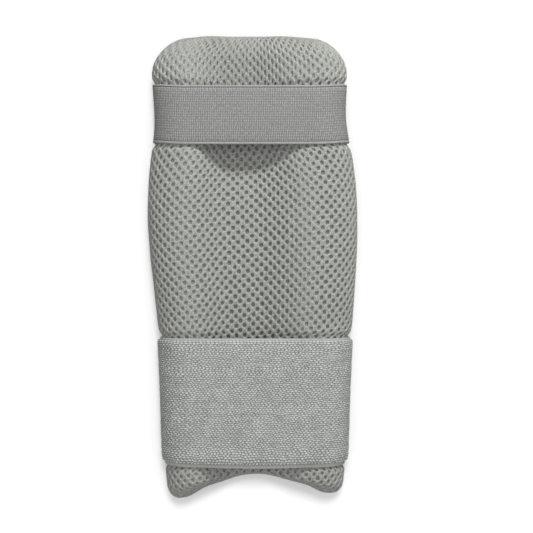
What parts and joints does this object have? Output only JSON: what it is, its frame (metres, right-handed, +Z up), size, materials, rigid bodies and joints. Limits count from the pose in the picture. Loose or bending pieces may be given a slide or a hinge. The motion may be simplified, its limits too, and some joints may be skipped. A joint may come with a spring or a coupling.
{
  "type": "cricket arm guard",
  "caption": "Padded forearm trough in spacer mesh with a narrow woven and a wide looped elastic band over its open side.",
  "frame": {"origin": "on the surface the guard lies on, under the middle of its outline", "axes": "+Z up out of the trough's open side, +Y along the forearm towards the square end, +X across the arm"},
  "size_m": [0.123, 0.2704, 0.033],
  "materials": {
    "spacer_mesh": "matt knitted spacer mesh with round holes",
    "woven_elastic": "finely ribbed woven elastic",
    "loop_elastic": "matt looped pile on elastic"
  },
  "bodies": {
    "root": {"mesh_pad": "spacer_mesh", "upper_strap": "woven_elastic", "lower_strap": "loop_elastic"}
  },
  "joints": []
}
